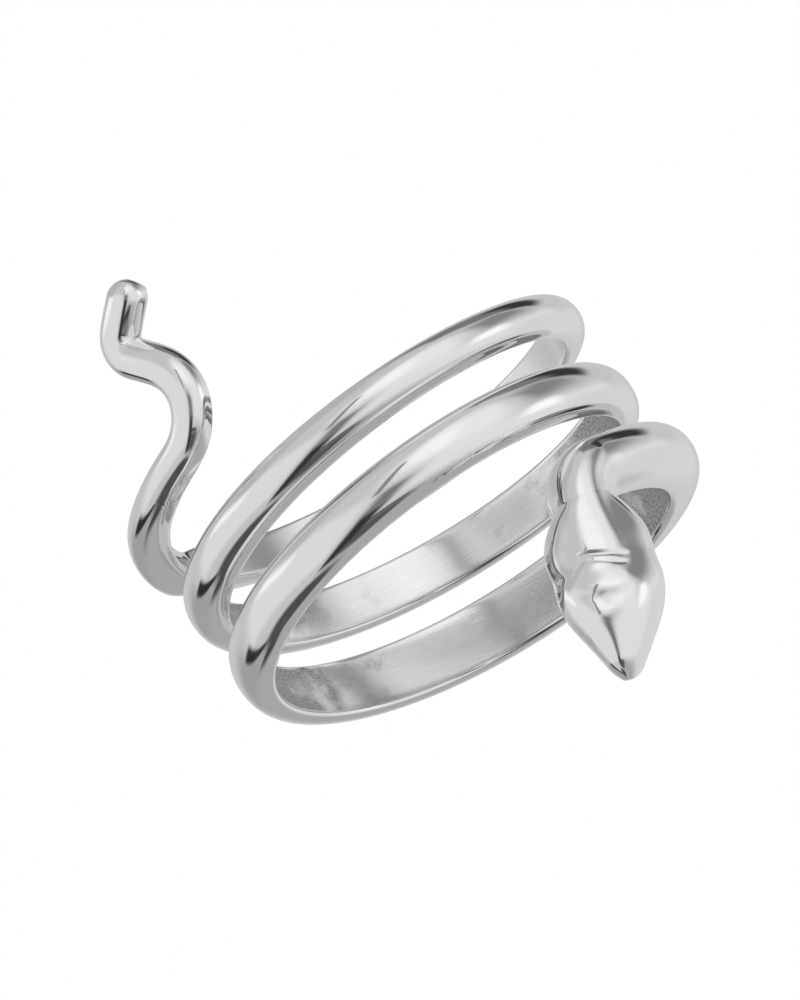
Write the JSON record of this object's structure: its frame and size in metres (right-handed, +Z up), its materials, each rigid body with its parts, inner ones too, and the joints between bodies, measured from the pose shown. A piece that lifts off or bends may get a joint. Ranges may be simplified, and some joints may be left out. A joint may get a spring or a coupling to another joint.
{
  "type": "snake wrap ring",
  "caption": "Coiled finger ring shaped as a snake, with a flat viper head at one end and a thin wavy tail at the other, cast in one piece.",
  "frame": {"origin": "middle of the ring's box at its underside, on the surface that it rests on", "axes": "+Z up as the ring comes to rest by itself, on its snout and the edge of its lowest turn; the finger hole leans about 27 degrees from +Z towards +Y, and the tail is at its upper end"},
  "size_m": [0.0202, 0.0254, 0.0205],
  "materials": {
    "silver": "mirror polish outside, satin with fine lengthwise scratches on the inner face"
  },
  "bodies": {
    "root": {"snake_ring": "silver"}
  },
  "joints": []
}
